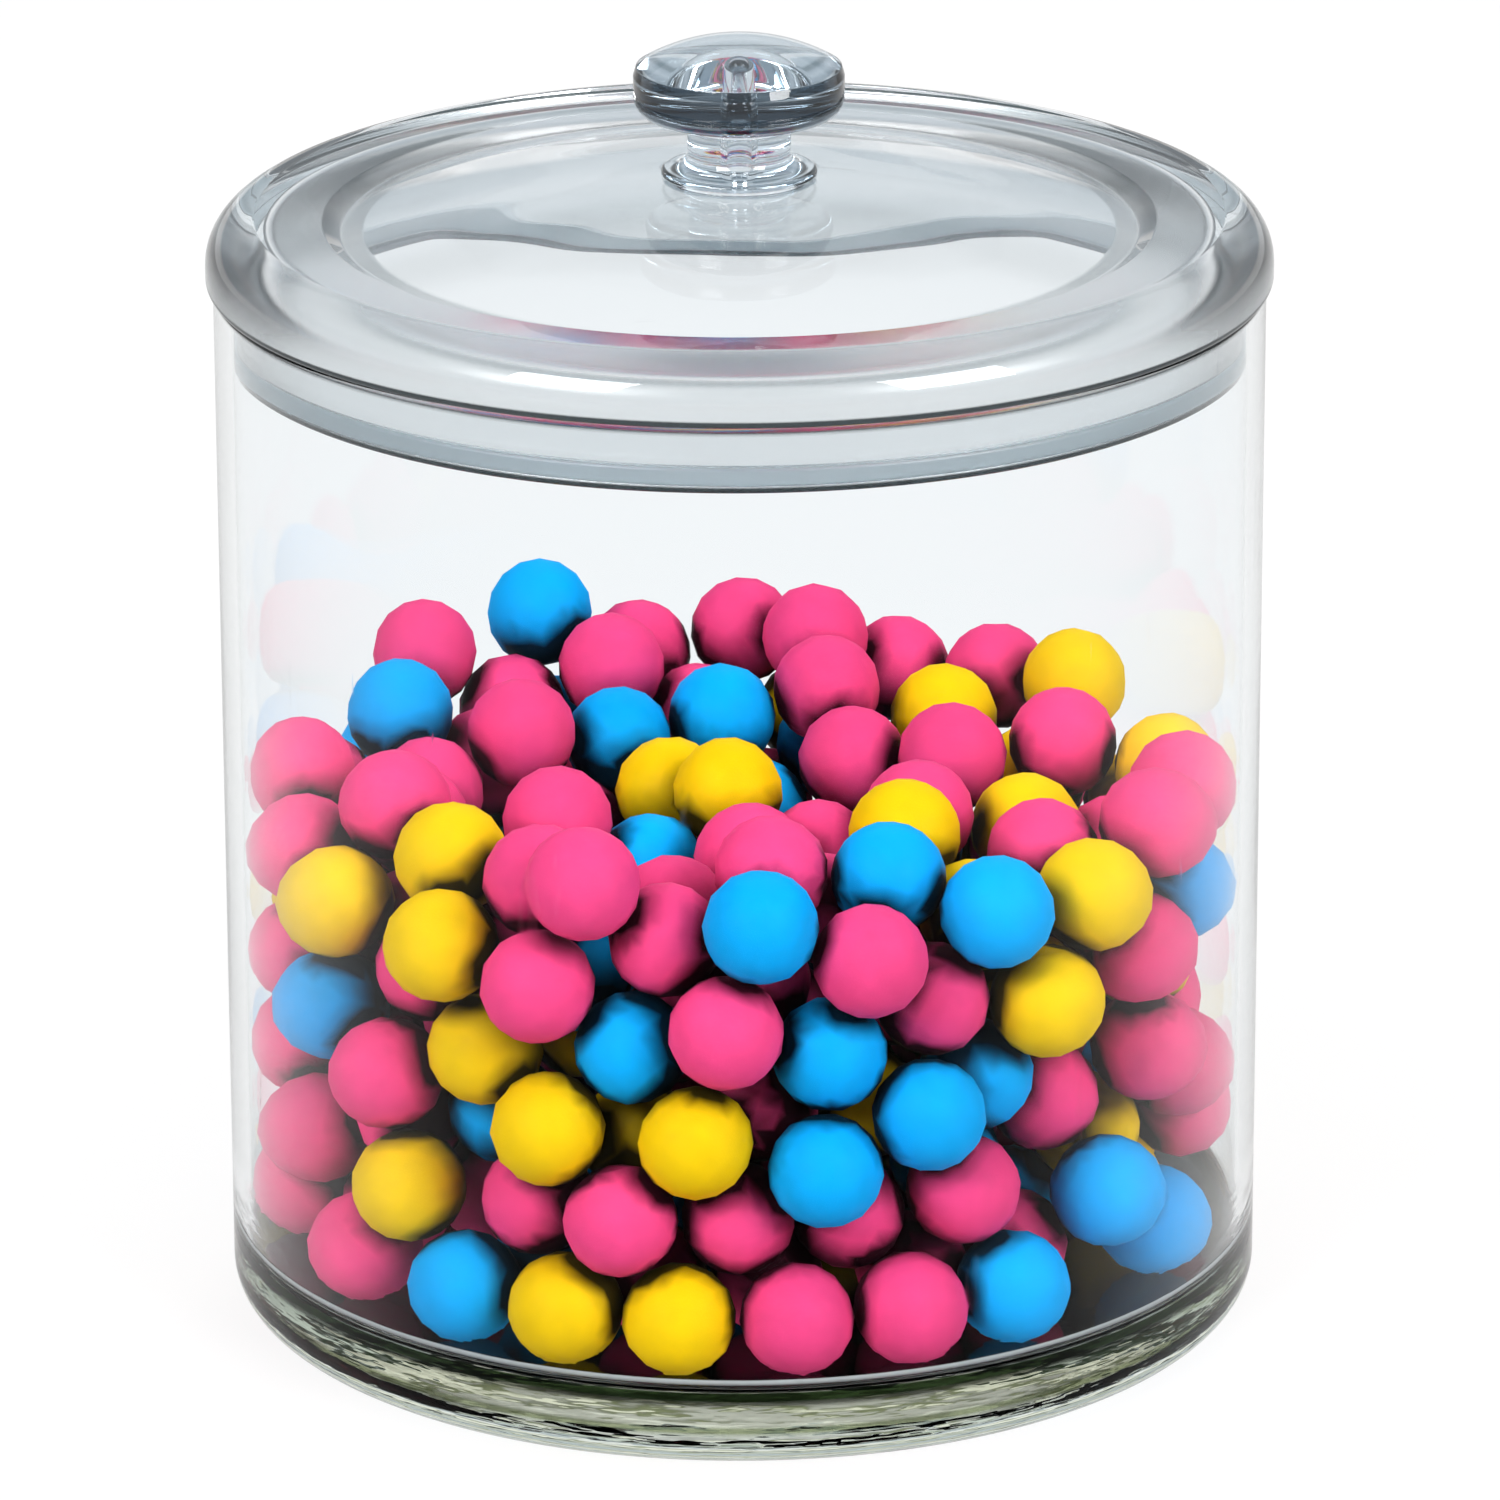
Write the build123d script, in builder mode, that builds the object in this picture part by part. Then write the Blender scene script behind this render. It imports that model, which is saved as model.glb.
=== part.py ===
"""Clear cylindrical candy bin with a lift-off knobbed lid, half full of gumballs.

Millimetres, +Z up, front towards -Y. The origin is the centre of the foot ring,
on the surface that the bin stands on.
"""
import os
from math import acos, atan2, cos, hypot, radians, sin, sqrt
from random import Random

from build123d import *

# ---- Jar: one moulded vessel with a heavy base -----------------------------
JAR_RADIUS = 115.0
JAR_HEIGHT = 235.0          # foot to rim
JAR_WALL = 4.0
BASE_THICKNESS = 16.5
HEEL_ROUND = 8.0            # outside bottom corner
FLOOR_ROUND = 4.0           # inside bottom corner
RIM_ROUND = 1.2
FOOT_RING_WIDTH = 10.0      # flat ring that the bin rests on
FOOT_RECESS = 2.5           # hollow under the base, inside the foot ring
RECESS_ROUND = 2.0

# ---- Lid: rounded overhanging rim, sunk dome, plug that enters the mouth ----
LID_REST_GAP = 0.3          # between the rim of the jar and the lid above it
LID_OVERHANG = 1.6          # lid beyond the jar wall
LID_RIM_HEIGHT = 14.1
LID_RIM_ROUND = 10.4
LID_RIM_FLAT = 0.4          # top of the rim, inside its rounded edge
LID_EDGE_ROUND = 1.2
LID_THICKNESS = 5.0
DOME_RADIUS = 87.0
DOME_DROP = 2.2             # edge of the dome below the ridge
DOME_RISE = 11.4            # middle of the dome above its edge
RIDGE_WIDTH = 4.0           # from the edge of the dome up to the ridge round it
RIDGE_DROP = 1.7            # ridge below the top of the rim
RIDGE_ROUND = 2.0
PAD_RADIUS = 23.0           # raised flat that carries the knob
PAD_HEIGHT = 0.8
UNDERSIDE_ROUND = 3.0       # where the plug meets the underside
PLUG_CLEARANCE = 0.8        # plug to jar wall
PLUG_DEPTH = 15.2           # plug below the rim of the jar
PLUG_WALL = 5.4
PLUG_ROUND = 0.6

# ---- Seal ring in the groove round the foot of the plug ---------------------
SEAL_HEIGHT = 4.2
SEAL_LIP = 1.5              # plug left below the groove
SEAL_DEPTH = 2.6            # groove into the plug wall
SEAL_CLEARANCE = 0.3        # seal to jar wall
SEAL_FIT = 0.05             # seal to groove
SEAL_ROUND = 0.8

# ---- Knob, bonded to the pad ------------------------------------------------
KNOB_FOOT_RADIUS = 17.0
KNOB_FOOT_HEIGHT = 1.6
STEM_RADIUS = 11.3
STEM_HEIGHT = 11.5          # pad to the underside of the head
FOOT_FLARE = 4.0
FOOT_EDGE_ROUND = 1.0
HEAD_RADIUS = 23.0
HEAD_HEIGHT = 12.6          # underside to the edge of the crown
HEAD_UNDER_RISE = 2.5       # underside climbs from the stem outwards
HEAD_UNDER_ROUND = 4.5
NECK_ROUND = 1.5
CROWN_INSET = 0.6           # bevel between the side and the crown
CROWN_BEVEL = 2.0
CROWN_RISE = 6.2
CROWN_EDGE_ROUND = 0.5
CORE_RADIUS = 2.7           # blind hole up the stem
CORE_DEPTH = 19.5

# ---- Gumballs ---------------------------------------------------------------
GUMBALL_RADIUS = 12.5
GUMBALL_GAP = 0.15          # between sweets, and from sweet to jar
HEAP_HEIGHT = 113.0         # floor to the middle of the highest sweets, at the wall
HEAP_DIP = 12.0             # heap lower in the middle
HEAP_SCATTER = 7.0          # unevenness of the pour
FIRST_SWEET_ANGLE = -8.0    # round the jar from the front, towards +X
POUR_SEED = 4
COLOUR_SEED = 27
PINK_SHARE = 0.55           # blue has what pink and yellow leave
YELLOW_SHARE = 0.21


# ---- Heights and radii that follow -------------------------------------------
bore = JAR_RADIUS - JAR_WALL
foot_outer = JAR_RADIUS - HEEL_ROUND
foot_inner = foot_outer - FOOT_RING_WIDTH

lid_bottom = JAR_HEIGHT + LID_REST_GAP
lid_radius = JAR_RADIUS + LID_OVERHANG
rim_top = lid_bottom + LID_RIM_HEIGHT
rim_flat_edge = lid_radius - LID_RIM_ROUND - LID_RIM_FLAT
ridge_radius = DOME_RADIUS + RIDGE_WIDTH
ridge_z = rim_top - RIDGE_DROP
dome_edge_z = ridge_z - DOME_DROP
dome_top_z = dome_edge_z + DOME_RISE
pad_z = dome_top_z + PAD_HEIGHT
plug_radius = bore - PLUG_CLEARANCE
plug_inner = plug_radius - PLUG_WALL
plug_bottom = JAR_HEIGHT - PLUG_DEPTH

groove_bottom = plug_bottom + SEAL_LIP
groove_top = groove_bottom + SEAL_HEIGHT
groove_radius = plug_radius - SEAL_DEPTH
seal_radius = bore - SEAL_CLEARANCE

head_bottom = pad_z + STEM_HEIGHT
crown_edge_z = head_bottom + HEAD_HEIGHT
crown_top_z = crown_edge_z + CROWN_RISE
crown_edge = HEAD_RADIUS - CROWN_INSET


def cap_drop(radius, edge, rise):
    """Fall from the top of a spherical cap of an edge radius and a rise."""
    sphere = (edge**2 + rise**2) / (2 * rise)
    return sphere - sqrt(sphere**2 - radius**2)


def on_dome(radius):
    """Height of the dome's outer skin at a radius."""
    return dome_top_z - cap_drop(radius, DOME_RADIUS, DOME_RISE)


def corner(radius, height):
    """The corner of the section being drawn that lies at a radius and a height."""
    return vertices().sort_by_distance((radius, height))[0]


# ---- Jar ----------------------------------------------------------------------
with BuildPart() as jar:
    with BuildSketch(Plane.XZ):
        with BuildLine():
            Polyline(
                (0, FOOT_RECESS),
                (foot_inner, FOOT_RECESS),
                (foot_inner, 0),
                (JAR_RADIUS, 0),
                (JAR_RADIUS, JAR_HEIGHT),
                (bore, JAR_HEIGHT),
                (bore, BASE_THICKNESS),
                (0, BASE_THICKNESS),
                close=True,
            )
        make_face()
        fillet(corner(foot_inner, FOOT_RECESS), RECESS_ROUND)
        fillet(corner(JAR_RADIUS, 0), HEEL_ROUND)
        fillet(corner(JAR_RADIUS, JAR_HEIGHT), RIM_ROUND)
        fillet(corner(bore, JAR_HEIGHT), RIM_ROUND)
        fillet(corner(bore, BASE_THICKNESS), FLOOR_ROUND)
    revolve(axis=Axis.Z)
jar.part.label = "jar"

# ---- Lid ----------------------------------------------------------------------
with BuildPart() as lid:
    with BuildSketch(Plane.XZ):
        with BuildLine():
            under_pad = (0, dome_top_z - LID_THICKNESS)
            under_edge = (DOME_RADIUS, dome_edge_z - LID_THICKNESS)
            halfway = DOME_RADIUS / 2
            ThreePointArc(under_pad, (halfway, on_dome(halfway) - LID_THICKNESS), under_edge)
            Polyline(
                under_edge,
                (plug_inner, dome_edge_z - LID_THICKNESS),
                (plug_inner, plug_bottom),
                (plug_radius, plug_bottom),
                (plug_radius, groove_bottom),
                (groove_radius, groove_bottom),
                (groove_radius, groove_top),
                (plug_radius, groove_top),
                (plug_radius, lid_bottom),
                (lid_radius, lid_bottom),
                (lid_radius, rim_top),
                (rim_flat_edge, rim_top),
                (ridge_radius, ridge_z),
                (DOME_RADIUS, dome_edge_z),
            )
            middle = (DOME_RADIUS + PAD_RADIUS) / 2
            ThreePointArc(
                (DOME_RADIUS, dome_edge_z),
                (middle, on_dome(middle)),
                (PAD_RADIUS, on_dome(PAD_RADIUS)),
            )
            Polyline((PAD_RADIUS, on_dome(PAD_RADIUS)), (PAD_RADIUS, pad_z), (0, pad_z), under_pad)
        make_face()
        fillet(corner(plug_inner, dome_edge_z - LID_THICKNESS), UNDERSIDE_ROUND)
        fillet(corner(plug_inner, plug_bottom), PLUG_ROUND)
        fillet(corner(plug_radius, plug_bottom), PLUG_ROUND)
        fillet(corner(lid_radius, lid_bottom), LID_EDGE_ROUND)
        fillet(corner(lid_radius, rim_top), LID_RIM_ROUND)
        fillet(corner(ridge_radius, ridge_z), RIDGE_ROUND)
        fillet(corner(PAD_RADIUS, pad_z), PAD_HEIGHT / 2)
    revolve(axis=Axis.Z)
lid.part.label = "lid"

# ---- Seal ring ------------------------------------------------------------------
with BuildPart() as lid_seal:
    with BuildSketch(Plane.XZ):
        with BuildLine():
            Polyline(
                (groove_radius + SEAL_FIT, groove_bottom + SEAL_FIT),
                (seal_radius, groove_bottom + SEAL_FIT),
                (seal_radius, groove_top - SEAL_FIT),
                (groove_radius + SEAL_FIT, groove_top - SEAL_FIT),
                close=True,
            )
        make_face()
        fillet(corner(seal_radius, groove_bottom), SEAL_ROUND)
        fillet(corner(seal_radius, groove_top), SEAL_ROUND)
    revolve(axis=Axis.Z)
lid_seal.part.label = "lid_seal"

# ---- Knob -------------------------------------------------------------------------
with BuildPart() as knob:
    with BuildSketch(Plane.XZ):
        with BuildLine():
            Polyline(
                (0, crown_top_z),
                (0, pad_z),
                (KNOB_FOOT_RADIUS, pad_z),
                (KNOB_FOOT_RADIUS, pad_z + KNOB_FOOT_HEIGHT),
                (STEM_RADIUS, pad_z + KNOB_FOOT_HEIGHT),
                (STEM_RADIUS, head_bottom),
                (HEAD_RADIUS, head_bottom + HEAD_UNDER_RISE),
                (HEAD_RADIUS, crown_edge_z - CROWN_BEVEL),
                (crown_edge, crown_edge_z),
            )
            half_edge = crown_edge / 2
            ThreePointArc(
                (crown_edge, crown_edge_z),
                (half_edge, crown_top_z - cap_drop(half_edge, crown_edge, CROWN_RISE)),
                (0, crown_top_z),
            )
        make_face()
        fillet(corner(KNOB_FOOT_RADIUS, pad_z + KNOB_FOOT_HEIGHT), FOOT_EDGE_ROUND)
        fillet(corner(STEM_RADIUS, pad_z + KNOB_FOOT_HEIGHT), FOOT_FLARE)
        fillet(corner(STEM_RADIUS, head_bottom), NECK_ROUND)
        fillet(corner(HEAD_RADIUS, head_bottom + HEAD_UNDER_RISE), HEAD_UNDER_ROUND)
        fillet(corner(crown_edge, crown_edge_z), CROWN_EDGE_ROUND)
    revolve(axis=Axis.Z)
    with BuildSketch(Plane.XY.offset(pad_z)):
        Circle(CORE_RADIUS)
    extrude(amount=CORE_DEPTH - CORE_RADIUS, mode=Mode.SUBTRACT)
    with Locations((0, 0, pad_z + CORE_DEPTH - CORE_RADIUS)):
        Sphere(CORE_RADIUS, mode=Mode.SUBTRACT)
knob.part.label = "knob"


# ---- Gumballs -------------------------------------------------------------------
pitch = 2 * GUMBALL_RADIUS + GUMBALL_GAP
reach = bore - GUMBALL_RADIUS - GUMBALL_GAP
lowest = BASE_THICKNESS + GUMBALL_RADIUS + GUMBALL_GAP
neighbourhood = 2 * pitch   # sweets further apart never hold a sweet between them
TOUCH = 1e-6
SCAN_STEPS = 24             # round a circle of contact, to bracket where it meets the wall
HALVINGS = 40


def distance(a, b):
    return sqrt((a[0] - b[0]) ** 2 + (a[1] - b[1]) ** 2 + (a[2] - b[2]) ** 2)


def circle_of_contact(a, b):
    """Centre, radius and two axes of the circle of points one pitch from a and b."""
    gap = distance(a, b)
    middle = [(p + q) / 2 for p, q in zip(a, b)]
    along = [(q - p) / gap for p, q in zip(a, b)]
    flat = hypot(along[0], along[1]) or TOUCH
    side = (-along[1] / flat, along[0] / flat, 0.0)
    rise = (
        along[1] * side[2] - along[2] * side[1],
        along[2] * side[0] - along[0] * side[2],
        along[0] * side[1] - along[1] * side[0],
    )
    return middle, sqrt(max(pitch**2 - (gap / 2) ** 2, 0.0)), side, rise


def on_circle(circle, turn):
    """Point of a circle of contact at a turn from its side axis."""
    middle, radius, side, rise = circle
    return tuple(
        m + radius * (cos(turn) * s + sin(turn) * r) for m, s, r in zip(middle, side, rise)
    )


def rests_on_three(a, b, c):
    """Place one pitch from three sweets: the circle round a and b met by c's sphere."""
    circle = circle_of_contact(a, b)
    middle, radius, side, rise = circle
    offset = [m - q for m, q in zip(middle, c)]
    along_side = sum(o * s for o, s in zip(offset, side))
    along_rise = sum(o * r for o, r in zip(offset, rise))
    reach_needed = pitch**2 - radius**2 - sum(o * o for o in offset)
    size = 2 * radius * hypot(along_side, along_rise)
    if size < TOUCH or abs(reach_needed) > size:
        return []
    heading = atan2(along_rise, along_side)
    swing = acos(reach_needed / size)
    return [on_circle(circle, heading + swing), on_circle(circle, heading - swing)]


def rests_on_two_and_wall(a, b):
    """Places one pitch from two sweets and against the jar wall, by halving."""
    circle = circle_of_contact(a, b)

    def outside(turn):
        spot = on_circle(circle, turn)
        return hypot(spot[0], spot[1]) - reach

    found = []
    for step in range(SCAN_STEPS):
        low = radians(360 / SCAN_STEPS * step)
        high = radians(360 / SCAN_STEPS * (step + 1))
        if outside(low) * outside(high) > 0:
            continue
        for _ in range(HALVINGS):
            half = (low + high) / 2
            if outside(low) * outside(half) <= 0:
                high = half
            else:
                low = half
        found.append(on_circle(circle, low if outside(low) <= 0 else high))
    return found


def rests_on_floor(a, b):
    """Places on the floor one pitch from two sweets."""
    spans = [sqrt(max(pitch**2 - (p[2] - lowest) ** 2, 0.0)) for p in (a, b)]
    apart = hypot(b[0] - a[0], b[1] - a[1])
    if apart < TOUCH or apart > sum(spans):
        return []
    along = (apart**2 + spans[0] ** 2 - spans[1] ** 2) / (2 * apart)
    off = sqrt(max(spans[0] ** 2 - along**2, 0.0))
    ux, uy = (b[0] - a[0]) / apart, (b[1] - a[1]) / apart
    foot = (a[0] + along * ux, a[1] + along * uy)
    return [(foot[0] - s * off * uy, foot[1] + s * off * ux, lowest) for s in (1, -1)]


def rests_in_corner(a):
    """Places on the floor and against the wall, one pitch from one sweet."""
    span = sqrt(max(pitch**2 - (a[2] - lowest) ** 2, 0.0))
    out = hypot(a[0], a[1])
    if out < TOUCH:
        return []
    turn = (out**2 + reach**2 - span**2) / (2 * out * reach)
    if abs(turn) > 1:
        return []
    heading, swing = atan2(a[1], a[0]), acos(turn)
    return [(reach * cos(t), reach * sin(t), lowest) for t in (heading + swing, heading - swing)]


def is_held(spot, supports):
    """True where the pushes of three supports, seen from above, balance each other."""
    headings = []
    for support in supports:
        if support is None:
            headings.append(atan2(-spot[1], -spot[0]))
        else:
            headings.append(atan2(spot[1] - support[1], spot[0] - support[0]))
    headings.sort()
    openings = [b - a for a, b in zip(headings, headings[1:])]
    openings.append(headings[0] + radians(360) - headings[-1])
    return max(openings) <= radians(180)


def heap_top(spot):
    """Highest middle of a sweet at a spot: the heap is a shallow dish."""
    share = 1 - (hypot(spot[0], spot[1]) / reach) ** 2
    return BASE_THICKNESS + HEAP_HEIGHT - HEAP_DIP * share


def resting_places(new, near):
    """Places where a sweet would rest on the newest one and its neighbours."""
    by_wall = [p for p in near if hypot(p[0], p[1]) > reach - pitch]
    on_floor = [p for p in near if p[2] < lowest + pitch]
    places = []
    if new[2] < lowest + pitch:
        for other in on_floor:
            places += [(p, None) for p in rests_on_floor(new, other)]
        places += [(p, None) for p in rests_in_corner(new)]
    if hypot(new[0], new[1]) > reach - pitch:
        for other in by_wall:
            places += [(p, (new, other, None)) for p in rests_on_two_and_wall(new, other)]
    for count, first in enumerate(near):
        for second in near[count + 1 :]:
            if distance(first, second) < neighbourhood:
                places += [(p, (new, first, second)) for p in rests_on_three(new, first, second)]
    return places


def pour():
    """Middles of the sweets: each goes to the lowest place that holds it, unevenly."""
    chance = Random(POUR_SEED)
    sweets = []
    turn = radians(FIRST_SWEET_ANGLE)
    waiting = [(0.0, (reach * sin(turn), -reach * cos(turn), lowest))]
    while waiting:
        waiting.sort()
        new = waiting.pop(0)[1]
        near = [p for p in sweets if distance(p, new) < neighbourhood - TOUCH]
        sweets.append(new)
        waiting = [w for w in waiting if distance(w[1], new) > pitch - TOUCH]
        close_by = [p for p in sweets if distance(p, new) < neighbourhood + TOUCH]
        for spot, supports in resting_places(new, near):
            if spot[2] > heap_top(spot) or spot[2] < lowest - TOUCH:
                continue
            if hypot(spot[0], spot[1]) > reach + TOUCH:
                continue
            if supports and (spot[2] < lowest or not is_held(spot, supports)):
                continue
            if any(distance(spot, p) < pitch - TOUCH for p in close_by):
                continue
            waiting.append((spot[2] + HEAP_SCATTER * chance.random(), spot))
    return sweets


def colour_of(chance):
    """Colour letter of a sweet, drawn by the share that each colour has."""
    draw = chance.random()
    if draw < PINK_SHARE:
        return "p"
    return "y" if draw < PINK_SHARE + YELLOW_SHARE else "b"


sweets = pour()
colour_chance = Random(COLOUR_SEED)
colours = [colour_of(colour_chance) for _ in sweets]


def gumballs(letter, name):
    """All the sweets of one colour, as separate balls in one node."""
    with BuildPart() as group:
        with Locations(*[spot for spot, colour in zip(sweets, colours) if colour == letter]):
            Sphere(GUMBALL_RADIUS)
    group.part.label = name
    return group


gumballs_pink = gumballs("p", "gumballs_pink")
gumballs_yellow = gumballs("y", "gumballs_yellow")
gumballs_blue = gumballs("b", "gumballs_blue")


# ---- Files ------------------------------------------------------------------------
os.makedirs("parts", exist_ok=True)
export_step(jar.part, "parts/jar.step")
export_step(lid.part, "parts/lid.step")
export_step(lid_seal.part, "parts/lid_seal.step")
export_step(knob.part, "parts/knob.step")
export_step(gumballs_pink.part, "parts/gumballs_pink.step")
export_step(gumballs_yellow.part, "parts/gumballs_yellow.step")
export_step(gumballs_blue.part, "parts/gumballs_blue.step")
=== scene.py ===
"""Clear candy bin with a lift-off knobbed lid, half full of gumballs.

Metres, +Z up, front towards -Y, origin at the centre of the foot ring.
"""

from math import atan2, pi, radians, sqrt

import bpy
import numpy as np
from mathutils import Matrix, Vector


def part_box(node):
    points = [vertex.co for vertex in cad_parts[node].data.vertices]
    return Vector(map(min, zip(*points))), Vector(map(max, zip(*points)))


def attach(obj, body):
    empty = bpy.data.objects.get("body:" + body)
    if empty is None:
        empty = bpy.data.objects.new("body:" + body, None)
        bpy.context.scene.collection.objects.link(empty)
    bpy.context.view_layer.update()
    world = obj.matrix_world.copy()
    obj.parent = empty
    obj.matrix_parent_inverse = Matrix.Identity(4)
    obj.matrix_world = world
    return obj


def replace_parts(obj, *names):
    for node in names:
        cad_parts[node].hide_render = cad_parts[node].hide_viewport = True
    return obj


bl_info = {
    "name": "Candy Bin",
    "version": (1, 0, 0),
    "blender": (4, 5, 0),
    "location": "3D View > Sidebar > Candy Bin",
    "description": "Clear round candy bin with a knobbed lid, a seal and three colours of gumballs",
    "category": "Object",
}

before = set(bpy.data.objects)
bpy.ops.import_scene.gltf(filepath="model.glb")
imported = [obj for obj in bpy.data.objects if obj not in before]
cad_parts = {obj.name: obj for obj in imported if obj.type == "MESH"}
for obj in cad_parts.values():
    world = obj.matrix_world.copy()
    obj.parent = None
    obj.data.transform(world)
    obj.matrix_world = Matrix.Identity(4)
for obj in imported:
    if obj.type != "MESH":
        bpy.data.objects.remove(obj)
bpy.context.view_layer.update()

JAR_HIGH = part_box("jar")[1]
LID_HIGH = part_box("lid")[1]
SEAL_LOW, SEAL_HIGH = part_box("lid_seal")
KNOB_LOW, KNOB_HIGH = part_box("knob")

JAR_SEGMENTS = 256
LID_SEGMENTS = 256
SEAL_SEGMENTS = 192
KNOB_SEGMENTS = 144
ARC_STEPS = 10              # steps round each rounded corner of a section
UNDER_POINTS = 30           # across the underside of the lid's dome
DOME_POINTS = 14            # from the edge of the dome to the pad's slope
SLOPE_POINTS = 26           # up the pad's slope
CORE_POINTS = 12            # over the round end of the knob's core
CROWN_POINTS = 24           # over the knob's crown
MERGE_DIGITS = 6            # decimals to which two points of a ball are the same
EDGE_MARGIN = 0.0003        # keeps the shading of a flat side flat, beside a rounded corner
SAME_POINT = 1e-6
SLIVER = 0.1                # of the mean area of a node's faces
SEAL_STAND_OUT = 0.0005     # seal beyond the plug
# painted shade: gumballs darken in the gaps of the heap over this range
PAINTED_SHADE_CROWD_RANGE = (0.12, 0.50)  # crowding from which a gumball darkens, and where it is darkest

# Bands of painted shade in the glass, by height: dark colour put where moulded edges and contact
# lines look dark
BAND_EDGE = 0.00005         # a dark band stays this far from a level surface
CLEAR = (0.93, 0.948, 0.96)  # colour of a polished clear surface
# painted shade: the base's dark band and thin streak stand in for the shade seen through it, with a
# nearly clear band between
PAINTED_STREAK = (0.46, 0.53, 0.61, 0.67)  # thin band in the base: shares of the base's height
PAINTED_BASE_SHADE = (0.89, 0.95)    # start of the dark band in the base, as shares of its height
PAINTED_BASE_SHADE_END = (0.5, 0.6)  # its end, as shares of the floor rounding above the base
RIM_PAINTED_SHADE = (1.4, 1.2)       # start of the band at the mouth: rim roundings below the rim
LIP_PAINTED_SHADE = 0.8              # share of the seal's lip that the band at the plug covers
CONTACT_PAINTED_SHADE = (1.2, 1.5)   # end of the band at the lid's underside: edge roundings above it
CORNER_MILK = 0.08          # share of the floor rounding, inwards, that is milky

# Sizes of the marks in the glass, in metres
JAR_WAVE_SIZE = 0.12
LID_WAVE_SIZE = 0.05
KNOB_WAVE_SIZE = 0.03
FLOW_SIZE = 0.030           # flow marks in the base
FLOW_FLATNESS = 7           # how much longer than high they are
SMUDGE_SIZE = 0.045
SMUDGE_RANGE = (0.5, 0.75)  # noise from which a smudge starts, and where it is whole
SCUFF_SIZE = 0.05
SCUFF_LENGTH = 9            # how much longer than wide scuffs are
SCUFF_HEADING = 0.6         # radians
SCUFF_RANGE = (0.68, 0.72)  # noise from which a scuff starts, and where it is whole
SATIN_INWARDS = 0.030       # satin area of the lid, in from the inside of the plug
SATIN_CLIMB = 0.0016        # satin area, up the underside from the edge of the dome

# Marks in the other finishes: their sizes in metres, and their ranges
CLOUD_RANGE = (0.3, 0.7)    # noise over which a finish goes from its least to its most
DYE_RANGE = (0.25, 0.75)    # the same for the dye
SILICONE_GRAIN_SIZE, SILICONE_GRAIN, SILICONE_BUMP = 0.0012, 0.0003, 0.15
SILICONE_CLOUD_SIZE, SILICONE_CLOUD = 0.02, (0.28, 0.42)  # least and most roughness
SILICONE_BEND = 1.41
SILICONE_CLEAR = 0.6        # share of light that goes through the silicone
SUGAR_CLOUD_SIZE, SUGAR_CLOUD = 0.006, (0.92, 1.06)  # palest and deepest dye
SUGAR_SHADE = (0.93, 1.04)  # darkest and lightest gumball
SUGAR_GRAIN_SIZE, SUGAR_GRAIN, SUGAR_BUMP = 0.0006, 0.0002, 0.25
SUGAR_SHINE = 0.08
SUGAR_DUSTING_SIZE, SUGAR_DUSTING = 0.004, (0.55, 0.72)  # least and most roughness
LAMP_TINT = (0.93, 0.95, 0.95, 1)  # what is left of lamp light through one glass surface

LAMPS = (                   # name, place, size, setting of its power, and if glass shows it
    ("left_lamp", (-1.3, -1.6, 1.5), 1.0, "left_power", True),
    ("right_lamp", (1.5, -1.4, 1.3), 1.0, "right_power", True),
    ("back_lamp", (0.3, 2.0, 1.6), 1.2, "back_power", False),
    ("top_lamp", (0.1, 0.1, 2.2), 1.2, "top_power", False),
)
SKY_BANDS = (               # what glass sees: rise towards the zenith, and colour there
    (0.530, (1.0, 1.0, 1.0)),
    (0.550, (0.50, 0.56, 0.61)),
    (0.600, (0.60, 0.66, 0.71)),
    (0.640, (0.80, 0.85, 0.89)),
    (0.685, (0.62, 0.68, 0.73)),
    (0.712, (0.36, 0.42, 0.45)),
    (0.735, (0.36, 0.42, 0.45)),
    (0.760, (0.72, 0.78, 0.82)),
    (0.850, (0.85, 0.90, 0.93)),
    (1.000, (1.0, 1.0, 1.0)),
)
SENSOR_WIDTH = 36.0         # of the camera, in millimetres
FAR = 100.0                 # furthest that the camera sees, in metres


# ---- Sizes and colours ---------------------------------------------------------
def length(name, description, default):
    """A length in metres."""
    return bpy.props.FloatProperty(
        name=name, description=description, default=default, min=0.0,
        precision=5, subtype="DISTANCE", unit="LENGTH",
    )


def share(name, description, default):
    """A number from 0 to 1."""
    return bpy.props.FloatProperty(
        name=name, description=description, default=default, min=0.0, max=1.0, subtype="FACTOR",
    )


def amount(name, description, default):
    """A plain number."""
    return bpy.props.FloatProperty(name=name, description=description, default=default)


def angle(name, description, default):
    """An angle, written in degrees."""
    return bpy.props.FloatProperty(
        name=name, description=description, default=radians(default),
        subtype="ANGLE", unit="ROTATION",
    )


def power(name, description, default):
    """Power of a lamp in watts."""
    return bpy.props.FloatProperty(
        name=name, description=description, default=default, subtype="POWER", unit="POWER",
    )


def colour(name, description, default):
    """A linear colour."""
    return bpy.props.FloatVectorProperty(
        name=name, description=description, default=default,
        min=0.0, max=1.0, size=3, subtype="COLOR",
    )


class CandyBinJar(bpy.types.PropertyGroup):
    """Sizes of the clear jar."""

    radius: length("Radius", "Outside of the wall", JAR_HIGH[0])
    height: length("Height", "Foot to rim", JAR_HIGH[2])
    wall: length("Wall", "Thickness of the wall", 0.004)
    base: length("Base", "Foot to the floor of the jar", 0.0165)
    heel_round: length("Heel rounding", "Outside bottom corner", 0.008)
    floor_round: length("Floor rounding", "Inside bottom corner", 0.004)
    rim_round: length("Rim rounding", "Both edges of the mouth", 0.0012)
    foot_width: length("Foot ring", "Width of the ring that the jar rests on", 0.010)
    recess: length("Recess", "Hollow under the base", 0.0025)
    recess_round: length("Recess rounding", "Inside of the foot ring", 0.002)
    foot_round: length("Foot rounding", "Inner edge of the foot ring", 0.0004)


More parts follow.
